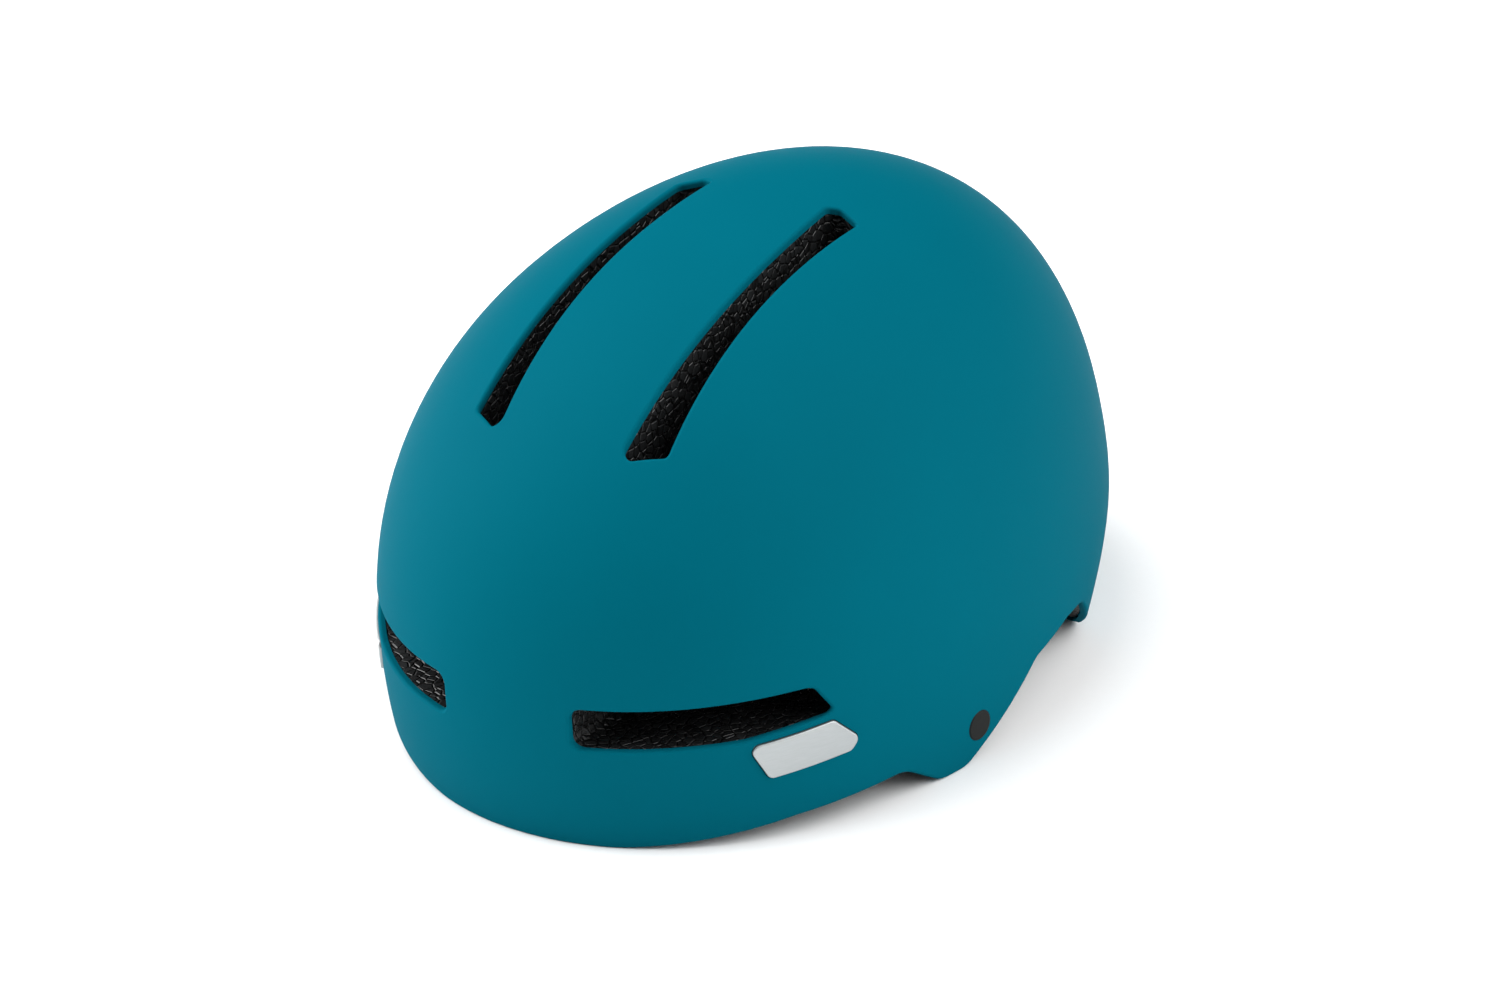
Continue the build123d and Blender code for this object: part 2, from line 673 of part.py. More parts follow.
chin_route = [
    (inner_lane, DIVIDER_Y - DIVIDER_LENGTH / 2 + STRAP_POCKET),
    (inner_lane, -4.0),
    (60.0, -46.0),
    (46.0, -72.0),
    (32.0, BUCKLE_Y),
    (BUCKLE_HALF + BUCKLE_GAP, BUCKLE_Y),
]

for name, side in SIDES.items():
    with BuildPart() as front_strap:
        extrude(web_face(mirrored(side, front_route), WEB_BEND, WEB_THICKNESS), amount=WEB_WIDTH)
        add(rivet_rod(side, RIVET_SHANK + WEB_GAP, RIVET_SEAT + 8, 12), mode=Mode.SUBTRACT)
    export(front_strap, f"front_strap_{name}")
    with BuildPart() as rear_strap:
        extrude(web_face(mirrored(side, rear_route), WEB_BEND, WEB_THICKNESS), amount=WEB_WIDTH)
    export(rear_strap, f"rear_strap_{name}")
    with BuildPart() as chin_strap:
        extrude(web_face(mirrored(side, chin_route), WEB_BEND, WEB_THICKNESS), amount=WEB_WIDTH)
    export(chin_strap, f"chin_strap_{name}")

    pockets = [
        web_face(mirrored(side, route), WEB_BEND, WEB_THICKNESS + 2 * WEB_GAP)
        for route in (front_route, rear_route, chin_route)
    ]
    lever_x = side * (DIVIDER_X - DIVIDER_DEPTH / 2 - LEVER_THICKNESS / 2 - BUCKLE_GAP)
    lever_y = DIVIDER_Y + DIVIDER_LENGTH / 2 - EAR_WALL
    lever_middle = WEB_LOW + WEB_WIDTH / 2
    lever_width = WEB_WIDTH + 2 * DIVIDER_MARGIN - 2 * EAR_WALL
    ear_plane = Plane(origin=(lever_x, lever_y, lever_middle - WEB_WIDTH / 2 - DIVIDER_MARGIN))
    with BuildPart() as divider:
        add(divider_box(side, 0))
        fillet(divider.edges().filter_by(Axis.Z), radius=1.6)
        for bottom in (0, lever_width + EAR_WALL):
            with BuildSketch(ear_plane.offset(bottom)):
                Circle(LEVER_THICKNESS / 2 + 0.6)
                with Locations((side * 2, 0)):
                    Rectangle(4, 2 * (LEVER_THICKNESS / 2 + 0.6))
            extrude(amount=EAR_WALL)
        with BuildSketch(ear_plane):
            Circle(LEVER_PIN + FIT_CLEARANCE)
        extrude(amount=2 * EAR_WALL + lever_width, mode=Mode.SUBTRACT)
        for pocket in pockets:
            pocket_floor = pocket.moved(Location((0, 0, -WEB_GAP)))
            extrude(pocket_floor, amount=WEB_WIDTH + 2 * WEB_GAP, mode=Mode.SUBTRACT)
    export(divider, f"divider_{name}")
    with BuildPart() as lever:
        with BuildSketch(ear_plane.offset(EAR_WALL + FIT_CLEARANCE)):
            Circle(LEVER_THICKNESS / 2)
            with Locations((0, -LEVER_LENGTH / 2)):
                Rectangle(LEVER_THICKNESS, LEVER_LENGTH)
        extrude(amount=lever_width - 2 * FIT_CLEARANCE)
        fillet(lever.edges().filter_by(Axis.Z).sort_by(Axis.Y)[0:2], radius=1.0)
        with BuildSketch(ear_plane):
            Circle(LEVER_PIN)
        extrude(amount=2 * EAR_WALL + lever_width)
    export(lever, f"divider_lever_{name}")

# Soft sleeve on the left chin strap, and the rubber ring that keeps the strap's free end
with BuildPart() as chin_pad:
    sleeve = web_face(CHIN_PAD_ROUTE, 0, CHIN_PAD_THICKNESS)
    extrude(sleeve.moved(Location((0, 0, -CHIN_PAD_MARGIN))), amount=WEB_WIDTH + 2 * CHIN_PAD_MARGIN)
    fillet(chin_pad.edges().filter_by(Axis.Z), radius=1.2)
    hollow = web_face(chin_route, WEB_BEND, WEB_THICKNESS + 2 * BUCKLE_GAP).moved(Location((0, 0, -BUCKLE_GAP)))
    extrude(hollow, amount=WEB_WIDTH + 2 * BUCKLE_GAP, mode=Mode.SUBTRACT)
export(chin_pad, "chin_pad")

with BuildPart() as strap_ring:
    ring_route = [(-inner_lane, STRAP_RING_FRONT + STRAP_RING_WIDTH), (-inner_lane, STRAP_RING_FRONT)]
    ring_face = web_face(ring_route, 0, WEB_THICKNESS + 2 * STRAP_RING_WALL)
    extrude(ring_face.moved(Location((0, 0, -STRAP_RING_WALL))), amount=WEB_WIDTH + 2 * STRAP_RING_WALL)
    hollow = web_face(mirrored(-1, chin_route), WEB_BEND, WEB_THICKNESS + 2 * WEB_GAP)
    extrude(hollow.moved(Location((0, 0, -WEB_GAP))), amount=WEB_WIDTH + 2 * WEB_GAP, mode=Mode.SUBTRACT)
export(strap_ring, "strap_ring")

# Snap buckle: the tongue's rail drops into a slot of the socket, and slides up and out of it
buckle_low = WEB_LOW - BUCKLE_MARGIN
buckle_height = WEB_WIDTH + 2 * BUCKLE_MARGIN
with BuildPart() as buckle_socket:
    with Locations((-BUCKLE_HALF / 2, BUCKLE_Y, buckle_low)):
        Box(BUCKLE_HALF, BUCKLE_DEPTH, buckle_height, align=(Align.CENTER, Align.CENTER, Align.MIN))
    fillet(buckle_socket.edges().filter_by(Axis.Z).sort_by(Axis.X)[0:2], radius=BUCKLE_CORNER)
    with BuildSketch(Plane.XY.offset(buckle_low + RAIL_FLOOR)):
        with Locations((-RAIL_DEPTH / 2, BUCKLE_Y)):
            Rectangle(RAIL_DEPTH, RAIL_NECK + 2 * BUCKLE_GAP)
        with Locations((-RAIL_DEPTH + RAIL_HEAD_LENGTH / 2, BUCKLE_Y)):
            Rectangle(RAIL_HEAD_LENGTH + 2 * BUCKLE_GAP, RAIL_HEAD + 2 * BUCKLE_GAP)
    extrude(amount=buckle_height, mode=Mode.SUBTRACT)
export(buckle_socket, "buckle_socket")
with BuildPart() as buckle_tongue:
    with Locations((BUCKLE_GAP, BUCKLE_Y, buckle_low)):
        Box(
            BUCKLE_HALF - 2 * BUCKLE_GAP,
            BUCKLE_DEPTH,
            buckle_height,
            align=(Align.MIN, Align.CENTER, Align.MIN),
        )
    fillet(buckle_tongue.edges().filter_by(Axis.Z).sort_by(Axis.X)[-2:], radius=BUCKLE_CORNER)
    with BuildSketch(Plane.XY.offset(buckle_low + RAIL_FLOOR + BUCKLE_GAP)):
        with Locations(((BUCKLE_GAP - RAIL_DEPTH) / 2, BUCKLE_Y)):
            Rectangle(RAIL_DEPTH + BUCKLE_GAP, RAIL_NECK)
        with Locations((-RAIL_DEPTH + RAIL_HEAD_LENGTH / 2, BUCKLE_Y)):
            Rectangle(RAIL_HEAD_LENGTH, RAIL_HEAD)
    extrude(amount=buckle_height - RAIL_FLOOR - BUCKLE_GAP)
export(buckle_tongue, "buckle_tongue")


# ---------------------------------------------------------------- fit system
def band_angle(along):
    """Angle on a band's arc, from +X, of the rear point this far out along X."""
    return degrees(acos((along + BAND_CENTRE_X) / BAND_RADIUS))


BAND_TIP_ANGLE = degrees(asin((TEMPLE_PIN_Y - TEMPLE_SLOT_HALF - 4.5 - BAND_CENTRE_Y) / BAND_RADIUS))
BAND_MAIN_ANGLE = band_angle(CRADLE_HALF + 12.0)
RACK_END_ANGLE = band_angle(-RACK_END_X)
pitch_radius = GEAR_MODULE * PINION_TEETH / 2
pitch_degrees = degrees(pi * GEAR_MODULE / BAND_RADIUS)


def band_arc(side, start, end, low, high, growth):
    """Curved bar on a band's arc; growth widens it for a channel."""
    centre = (-side * BAND_CENTRE_X, BAND_CENTRE_Y)
    with BuildPart() as bar:
        with BuildSketch(Plane.XY.offset(low - growth)):
            with BuildLine():
                if side > 0:
                    CenterArc(centre, BAND_RADIUS, start, end - start)
                else:
                    CenterArc(centre, BAND_RADIUS, 180 - end, end - start)
            trace(line_width=BAND_THICKNESS + 2 * growth)
        extrude(amount=high - low + 2 * growth)
    return bar.part


rack_inner = PINION_Z + pitch_radius - TOOTH_HEIGHT
rack_outer = PINION_Z + pitch_radius + TOOTH_HEIGHT + RACK_BACK
band_low = 2 * PINION_Z - rack_outer
racks = {"left": (rack_inner, rack_outer), "right": (2 * PINION_Z - rack_outer, 2 * PINION_Z - rack_inner)}

for name, side in SIDES.items():
    low, high = racks[name]
    gap_floor = low if side > 0 else high - 2 * TOOTH_HEIGHT - 0.2
    with BuildPart() as band:
        add(band_arc(side, BAND_TIP_ANGLE, BAND_MAIN_ANGLE, band_low, rack_outer, 0))
        add(band_arc(side, BAND_MAIN_ANGLE - 1, RACK_END_ANGLE, low, high, 0))
        for k in range(-RACK_TEETH, RACK_TEETH + 1):
            angle = radians(band_angle(0.0) + k * pitch_degrees)
            spot = Vector(
                side * (BAND_RADIUS * cos(angle) - BAND_CENTRE_X),
                BAND_RADIUS * sin(angle) + BAND_CENTRE_Y,
                gap_floor - (0.5 if side > 0 else 0.0),
            )
            turn = side * (degrees(angle) - 90)
            with Locations(Location(spot, (0, 0, turn))):
                Box(
                    RACK_GAP,
                    4 * BAND_THICKNESS,
                    2 * TOOTH_HEIGHT + 0.7,
                    align=(Align.CENTER, Align.CENTER, Align.MIN),
                    mode=Mode.SUBTRACT,
                )
        with BuildSketch(Plane.YZ.offset(side * 50)):
            with Locations((TEMPLE_PIN_Y, PINION_Z)):
                SlotOverall(2 * TEMPLE_SLOT_HALF, 2 * (TEMPLE_PIN_RADIUS + WEB_GAP))
        extrude(amount=side * 40, mode=Mode.SUBTRACT)
    export(band, f"fit_band_{name}")

with BuildPart() as channels:
    for name, side in SIDES.items():
        low, high = racks[name]
        add(band_arc(side, band_angle(CRADLE_HALF + 30), band_angle(-CRADLE_HALF - 30), low, high, BAND_PLAY))
cradle_low = band_low - CRADLE_WALL
cradle_high = rack_outer + CRADLE_WALL


def cradle_half(front, rear):
    """One half of the cradle block, with the band channels cut through it."""
    with BuildPart() as half:
        with Locations((0, front, cradle_low)):
            Box(
                2 * CRADLE_HALF,
                rear - front,
                cradle_high - cradle_low,
                align=(Align.CENTER, Align.MIN, Align.MIN),
            )
        fillet(half.edges().filter_by(Axis.Y), radius=5)
        add(channels.part, mode=Mode.SUBTRACT)
    return half.part


def shaft_cylinder(radius, start, end):
    """Cylinder on the dial's axis between two places along Y."""
    with BuildPart() as cylinder:
        with BuildSketch(Plane(origin=(0, start, PINION_Z), x_dir=(1, 0, 0), z_dir=(0, 1, 0))):
            Circle(radius)
        extrude(amount=end - start)
    return cylinder.part


gear_front = CRADLE_SPLIT + FIT_CLEARANCE
gear_rear = CRADLE_REAR - 1.6
tip_radius = pitch_radius + TOOTH_HEIGHT
with BuildPart() as cradle_housing:
    add(cradle_half(CRADLE_FRONT, CRADLE_SPLIT))
    add(shaft_cylinder(SHAFT_RADIUS + FIT_CLEARANCE, CRADLE_FRONT + 1.5, CRADLE_SPLIT), mode=Mode.SUBTRACT)
export(cradle_housing, "cradle_housing")
with BuildPart() as cradle_cover:
    add(cradle_half(CRADLE_SPLIT, CRADLE_REAR))
    add(shaft_cylinder(tip_radius + BAND_PLAY, CRADLE_SPLIT, gear_rear + 0.1), mode=Mode.SUBTRACT)
    add(shaft_cylinder(SHAFT_RADIUS + FIT_CLEARANCE, CRADLE_SPLIT, CRADLE_REAR), mode=Mode.SUBTRACT)
export(cradle_cover, "cradle_cover")
with BuildPart() as cradle_pad:
    with Locations((0, CRADLE_FRONT - 0.2, PINION_Z)):
        Box(
            2 * CRADLE_HALF + 4,
            CRADLE_PAD,
            cradle_high - cradle_low + 2,
            align=(Align.CENTER, Align.MAX, Align.CENTER),
        )
    fillet(cradle_pad.edges().filter_by(Axis.Y), radius=6)
    fillet(cradle_pad.faces().sort_by(Axis.Y)[0].edges(), radius=1.8)
export(cradle_pad, "cradle_pad")

with BuildPart() as pinion:
    add(shaft_cylinder(pitch_radius - TOOTH_HEIGHT - 0.2, gear_front, gear_rear))
    for k in range(PINION_TEETH):
        turn = 360 / PINION_TEETH * k
        with Locations(Location((0, gear_front, PINION_Z), (0, turn, 0))):
            Box(
                TOOTH_THICKNESS,
                gear_rear - gear_front,
                tip_radius,
                align=(Align.CENTER, Align.MIN, Align.MIN),
            )
    add(shaft_cylinder(SHAFT_RADIUS, CRADLE_FRONT + 1.7, CRADLE_REAR + KNOB_LENGTH * 0.6))
    add(shaft_cylinder(SCREW_RADIUS, CRADLE_SPLIT, CRADLE_REAR + KNOB_LENGTH), mode=Mode.SUBTRACT)
export(pinion, "pinion")
knob_front = CRADLE_REAR + BUCKLE_GAP
knob_rear = knob_front + KNOB_LENGTH
with BuildPart() as dial_knob:
    add(shaft_cylinder(KNOB_RADIUS, knob_front, knob_rear))
    fillet(dial_knob.edges().sort_by(Axis.Y)[-1], radius=1.6)
    add(shaft_cylinder(KNOB_RADIUS - 3.5, knob_front, knob_front + 2.2), mode=Mode.SUBTRACT)
    add(shaft_cylinder(SHAFT_RADIUS, knob_front, CRADLE_REAR + KNOB_LENGTH * 0.6), mode=Mode.SUBTRACT)
    add(shaft_cylinder(SCREW_RADIUS, knob_front, knob_rear), mode=Mode.SUBTRACT)
    add(shaft_cylinder(SCREW_HEAD, knob_rear - 1.6, knob_rear), mode=Mode.SUBTRACT)
export(dial_knob, "dial_knob")
with BuildPart() as dial_grip:
    add(shaft_cylinder(KNOB_RADIUS + GRIP_THICKNESS, knob_front + 0.6, knob_rear - 1.8))
    for k in range(GRIP_NOTCHES):
        angle = 2 * pi * k / GRIP_NOTCHES
        spot = (
            (KNOB_RADIUS + GRIP_THICKNESS + 0.5) * cos(angle),
            knob_front,
            PINION_Z + (KNOB_RADIUS + GRIP_THICKNESS + 0.5) * sin(angle),
        )
        with BuildSketch(Plane(origin=spot, x_dir=(1, 0, 0), z_dir=(0, 1, 0))):
            Circle(1.2)
        extrude(amount=KNOB_LENGTH, mode=Mode.SUBTRACT)
    add(shaft_cylinder(KNOB_RADIUS, knob_front, knob_rear), mode=Mode.SUBTRACT)
export(dial_grip, "dial_grip")
with BuildPart() as detent_spring:
    add(shaft_cylinder(KNOB_RADIUS - 4.2, CRADLE_REAR + 0.1, CRADLE_REAR + 1.1))
    add(shaft_cylinder(KNOB_RADIUS - 6.2, CRADLE_REAR, CRADLE_REAR + 2), mode=Mode.SUBTRACT)
    for k in range(3):
        with Locations(Location((0, CRADLE_REAR + 0.1, PINION_Z), (0, 120 * k, 0))):
            with Locations((0, 0, SHAFT_RADIUS + 1.2)):
                Box(2.0, 1.0, KNOB_RADIUS - 8.0, align=(Align.CENTER, Align.MIN, Align.MIN))
    add(shaft_cylinder(SHAFT_RADIUS + 2.4, CRADLE_REAR + 0.1, CRADLE_REAR + 1.1))
    add(shaft_cylinder(SHAFT_RADIUS + 0.6, CRADLE_REAR, CRADLE_REAR + 2), mode=Mode.SUBTRACT)
export(detent_spring, "detent_spring")
with BuildPart() as dial_screw:
    add(shaft_cylinder(SCREW_RADIUS, CRADLE_SPLIT, knob_rear - 1.6))
    add(shaft_cylinder(SCREW_HEAD - FIT_CLEARANCE, knob_rear - 1.6, knob_rear - 0.1))
    with BuildSketch(Plane(origin=(0, knob_rear - 0.1, PINION_Z), x_dir=(1, 0, 0), z_dir=(0, 1, 0))):
        Rectangle(3.4, 0.8)
        Rectangle(0.8, 3.4)
    extrude(amount=-0.8, mode=Mode.SUBTRACT)
export(dial_screw, "dial_screw")

ladder_middle = (CRADLE_FRONT + CRADLE_SPLIT) / 2
with BuildPart() as height_ladder:
    with BuildSketch(Plane.XZ.offset(-ladder_middle)) as ladder_outline:
        with Locations((0, (cradle_high + LADDER_TOP) / 2)):
            Rectangle(LADDER_WIDTH, LADDER_TOP - cradle_high)
        fillet(ladder_outline.vertices().sort_by(Axis.Z)[-2:], radius=5)
        with Locations((0, LADDER_STUD_Z - 5.5)):
            SlotOverall(LADDER_SLOT, 2 * (TEMPLE_PIN_RADIUS + WEB_GAP), rotation=90, mode=Mode.SUBTRACT)
    extrude(amount=BAND_THICKNESS / 2, both=True)
export(height_ladder, "height_ladder")
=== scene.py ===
# %% [markdown]
# A hard-shell cycling helmet in teal, standing on its rim.
# The CAD frame gives every hard part in its true place and size.
# This lesson loads it, sets up a small studio, makes the finishes, and then
# models the soft parts: comfort pads, webbing and the chin sleeve.

# %% Load the frame
import math
import bpy
from mathutils import Matrix, Vector


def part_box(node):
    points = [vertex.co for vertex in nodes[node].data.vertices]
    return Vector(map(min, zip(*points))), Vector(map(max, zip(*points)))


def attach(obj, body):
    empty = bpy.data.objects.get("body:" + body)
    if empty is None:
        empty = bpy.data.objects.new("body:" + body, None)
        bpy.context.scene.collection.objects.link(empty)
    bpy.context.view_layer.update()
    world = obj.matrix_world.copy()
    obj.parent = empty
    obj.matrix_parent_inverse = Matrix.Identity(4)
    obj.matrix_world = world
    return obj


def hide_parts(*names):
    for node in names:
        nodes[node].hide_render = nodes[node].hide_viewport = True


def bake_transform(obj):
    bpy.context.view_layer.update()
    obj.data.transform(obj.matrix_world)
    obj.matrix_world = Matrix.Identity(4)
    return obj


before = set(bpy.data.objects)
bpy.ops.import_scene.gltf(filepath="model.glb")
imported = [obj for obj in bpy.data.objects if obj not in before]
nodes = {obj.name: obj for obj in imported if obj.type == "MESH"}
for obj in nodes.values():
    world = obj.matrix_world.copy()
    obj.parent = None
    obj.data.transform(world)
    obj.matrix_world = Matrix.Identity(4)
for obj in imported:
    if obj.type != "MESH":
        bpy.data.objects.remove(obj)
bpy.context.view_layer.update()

MM = 0.001

# %% [markdown]
# The camera looks down on the helmet's left front quarter from about two metres.
# It is placed by its bearing, its height angle and a slight roll, as a tripod
# head is set, so that one number changes one thing.

# %% Camera
CAMERA_PLACE = Vector((0.8660, -1.3211, 0.8796))
CAMERA_BEARING = 33.27
CAMERA_DOWN = 27.65
CAMERA_ROLL = -2.74
LENS_MM = 129.1
SENSOR_MM = 36.0

camera = bpy.data.objects.new("camera", bpy.data.cameras.new("camera"))
bpy.context.scene.collection.objects.link(camera)
camera.data.lens = LENS_MM
camera.data.sensor_width = SENSOR_MM
turn = Matrix.Rotation(math.radians(CAMERA_BEARING), 4, "Z")
tip = Matrix.Rotation(math.radians(90 - CAMERA_DOWN), 4, "X")
roll = Matrix.Rotation(math.radians(CAMERA_ROLL), 4, "Z")
camera.matrix_world = Matrix.Translation(CAMERA_PLACE) @ turn @ tip @ roll
bpy.context.scene.camera = camera
bpy.context.scene.view_settings.view_transform = "Standard"
print("camera at", list(camera.location))

# %% [markdown]
# Every finish is a node tree. Two helpers are enough: one turns the hex value
# of a colour, as a paint chart gives it, into the linear numbers that a shader
# works with, and one adds a node with its settings and links.

# %% Helpers for finishes
def linear(hex_colour):
    """Linear colour of an sRGB hex value such as 1A73E8."""
    parts = [int(hex_colour[i:i + 2], 16) / 255 for i in (0, 2, 4)]
    return [p / 12.92 if p <= 0.04045 else ((p + 0.055) / 1.055) ** 2.4 for p in parts] + [1.0]


def add_node(tree, kind, settings=None, **sockets):
    """Add a node; settings are its own values, sockets get a number or another node's output."""
    node = tree.nodes.new(kind)
    for name, value in (settings or {}).items():
        setattr(node, name, value)
    for name, value in sockets.items():
        socket = node.inputs[int(name[1:])] if name[1:].isdigit() else node.inputs[name.replace("_", " ")]
        if isinstance(value, bpy.types.NodeSocket):
            tree.links.new(value, socket)
        else:
            socket.default_value = value
    return node


def start_finish(name):
    """A new material with a plain shader; gives the material, its tree and the shader."""
    finish = bpy.data.materials.new(name)
    finish.use_nodes = True
    return finish, finish.node_tree, finish.node_tree.nodes["Principled BSDF"]


def paint(names, finish):
    """Put a finish on CAD nodes."""
    for name in names:
        for slot in nodes[name].material_slots:
            slot.material = finish


print("helpers ready")

# %% [markdown]
# The floor is a sheet of pale paper, far wider than the view. It is seen as
# plain white, so its finish only has a faint tooth.

# %% Floor
FLOOR_WIDTH = 30.0
PAPER_TOOTH = 2.5 * MM
bpy.ops.object.select_all(action="DESELECT")
bpy.ops.mesh.primitive_plane_add(size=FLOOR_WIDTH, location=(0, 0, 0))
floor = bpy.context.object
floor.name = "studio_floor"
paper, tree, shader = start_finish("matt_paper")
place = add_node(tree, "ShaderNodeTexCoord")
tooth = add_node(tree, "ShaderNodeTexNoise", Vector=place.outputs["Object"], Scale=1 / PAPER_TOOTH)
shades = add_node(tree, "ShaderNodeMix", {"data_type": "RGBA"}, _0=tooth.outputs["Fac"],
                  _6=linear("F7F7F7"), _7=linear("F9F9F9"))
tree.links.new(shades.outputs[2], shader.inputs["Base Color"])
shader.inputs["Roughness"].default_value = 0.95
shader.inputs["Specular IOR Level"].default_value = 0.1
floor.data.materials.append(paper)
print("floor", floor.dimensions[:])

# %% [markdown]
# The light is a white tent: two wide lamps low on the left and right, two
# higher ones above them, and a faint glow from everywhere. The left side is the
# stronger, the front stays a little darker, and the floor is bright enough to
# be plain white, with soft grey shade close to the rim only.

# %% Light
ROOM_STRENGTH = 0.12
LAMP_SPREAD = 65.0
LAMPS = {
    "left_low": (-160.0, 12.0, 3.9),
    "right_low": (20.0, 30.0, 2.45),
    "left_high": (-170.0, 55.0, 3.1),
    "right_high": (20.0, 55.0, 1.3),
}

room = bpy.data.worlds.new("white_room")
bpy.context.scene.world = room
room.use_nodes = True
room.node_tree.nodes["Background"].inputs["Color"].default_value = (1, 1, 1, 1)
room.node_tree.nodes["Background"].inputs["Strength"].default_value = ROOM_STRENGTH
for name, (bearing, rise, strength) in LAMPS.items():
    lamp = bpy.data.objects.new(name, bpy.data.lights.new(name, "SUN"))
    bpy.context.scene.collection.objects.link(lamp)
    lamp.data.energy = strength
    lamp.data.angle = math.radians(LAMP_SPREAD)
    swing = Matrix.Rotation(math.radians(bearing), 3, "Z") @ Matrix.Rotation(math.radians(-rise), 3, "Y")
    lamp.rotation_euler = (swing @ Vector((1, 0, 0))).to_track_quat("Z", "Y").to_euler()
print("lamps:", list(LAMPS))

# %% [markdown]
# The shell is moulded ABS with a soft-touch lacquer. The lacquer scatters light
# in its fine grain, so the colour stays deep and even, highlights are wide and
# faint, and the edge of the dome turns a little paler.

# %% Shell lacquer
LACQUER_GRAIN = 0.45 * MM
LACQUER_CLOUD = 60 * MM
lacquer, tree, shader = start_finish("soft_touch_lacquer")
place = add_node(tree, "ShaderNodeTexCoord")
cloud = add_node(tree, "ShaderNodeTexNoise", Vector=place.outputs["Object"], Scale=1 / LACQUER_CLOUD, Detail=1.0)
shades = add_node(tree, "ShaderNodeMix", {"data_type": "RGBA"}, _0=cloud.outputs["Fac"],
                  _6=linear("005565"), _7=linear("005969"))
tree.links.new(shades.outputs[2], shader.inputs["Base Color"])
grain = add_node(tree, "ShaderNodeTexNoise", Vector=place.outputs["Object"], Scale=1 / LACQUER_GRAIN, Detail=2.0)
sheen_range = add_node(tree, "ShaderNodeMapRange", None, Value=grain.outputs["Fac"], To_Min=0.52, To_Max=0.62)
tree.links.new(sheen_range.outputs["Result"], shader.inputs["Roughness"])
dents = add_node(tree, "ShaderNodeBump", None, Height=grain.outputs["Fac"], Distance=0.02 * MM, Strength=0.35)
tree.links.new(dents.outputs["Normal"], shader.inputs["Normal"])
shader.inputs["Specular IOR Level"].default_value = 0.006
paint(["outer_shell"], lacquer)
print("finish", lacquer.name)

# %% [markdown]
# The liner is expanded foam, moulded from beads that swell until they press
# flat against each other. Each bead is a cell about 3 mm across with a soft
# shine on its skin and a dark joint around it.

# %% Bead foam
BEAD = 3.0 * MM
BEAD_SKIN = 0.5 * MM
foam, tree, shader = start_finish("bead_foam")
place = add_node(tree, "ShaderNodeTexCoord")
joints = add_node(tree, "ShaderNodeTexVoronoi", {"feature": "DISTANCE_TO_EDGE"},
                  Vector=place.outputs["Object"], Scale=1 / BEAD, Randomness=0.9)
crown = add_node(tree, "ShaderNodeMapRange", {"interpolation_type": "SMOOTHSTEP"},
                 Value=joints.outputs["Distance"], From_Min=0.0, From_Max=0.16)
beads = add_node(tree, "ShaderNodeTexVoronoi", None, Vector=place.outputs["Object"], Scale=1 / BEAD, Randomness=0.9)
tone = add_node(tree, "ShaderNodeSeparateColor", None, Color=beads.outputs["Color"])
shades = add_node(tree, "ShaderNodeMix", {"data_type": "RGBA"}, _0=tone.outputs[0],
                  _6=linear("121314"), _7=linear("232425"))
dark = add_node(tree, "ShaderNodeMix", {"data_type": "RGBA"}, _0=crown.outputs["Result"],
                _6=linear("050505"), _7=shades.outputs[2])
tree.links.new(dark.outputs[2], shader.inputs["Base Color"])
skin = add_node(tree, "ShaderNodeTexNoise", None, Vector=place.outputs["Object"], Scale=1 / BEAD_SKIN, Detail=2.0)
gloss = add_node(tree, "ShaderNodeMapRange", None, Value=skin.outputs["Fac"], To_Min=0.3, To_Max=0.5)
tree.links.new(gloss.outputs["Result"], shader.inputs["Roughness"])
height = add_node(tree, "ShaderNodeMath", {"operation": "MULTIPLY_ADD"}, _0=skin.outputs["Fac"], _1=0.12,
                  _2=crown.outputs["Result"])
dents = add_node(tree, "ShaderNodeBump", None, Height=height.outputs[0], Distance=0.5 * MM, Strength=0.9)
tree.links.new(dents.outputs["Normal"], shader.inputs["Normal"])
paint(["foam_liner"], foam)
print("finish", foam.name)

# %% [markdown]
# The two side plates are ABS with a satin chrome finish, brushed along their
# length before plating. The brushing is too fine to see singly, so it is drawn
# at a third of a millimetre.

# %% Satin chrome
BRUSH = 0.35 * MM
satin, tree, shader = start_finish("satin_chrome")
place = add_node(tree, "ShaderNodeTexCoord")
stretch = add_node(tree, "ShaderNodeMapping", None, Vector=place.outputs["Object"], Scale=(0.08, 0.08, 1.0))
lines = add_node(tree, "ShaderNodeTexNoise", None, Vector=stretch.outputs["Vector"], Scale=1 / BRUSH, Detail=2.0)
shades = add_node(tree, "ShaderNodeMix", {"data_type": "RGBA"}, _0=lines.outputs["Fac"],
                  _6=linear("9FA3A4"), _7=linear("AEB2B3"))
tree.links.new(shades.outputs[2], shader.inputs["Base Color"])
gloss = add_node(tree, "ShaderNodeMapRange", None, Value=lines.outputs["Fac"], To_Min=0.36, To_Max=0.46)
tree.links.new(gloss.outputs["Result"], shader.inputs["Roughness"])
dents = add_node(tree, "ShaderNodeBump", None, Height=lines.outputs["Fac"], Distance=0.01 * MM, Strength=0.3)
tree.links.new(dents.outputs["Normal"], shader.inputs["Normal"])
shader.inputs["Metallic"].default_value = 0.85
paint(["badge_left", "badge_right"], satin)
print("finish", satin.name)

# %% [markdown]
# Rivets, anchors, dividers, buckle, bands and cradle are black nylon and
# acetal, moulded in a spark-eroded tool. The tool leaves a fine, even grain of
# about a quarter of a millimetre that breaks up the shine.

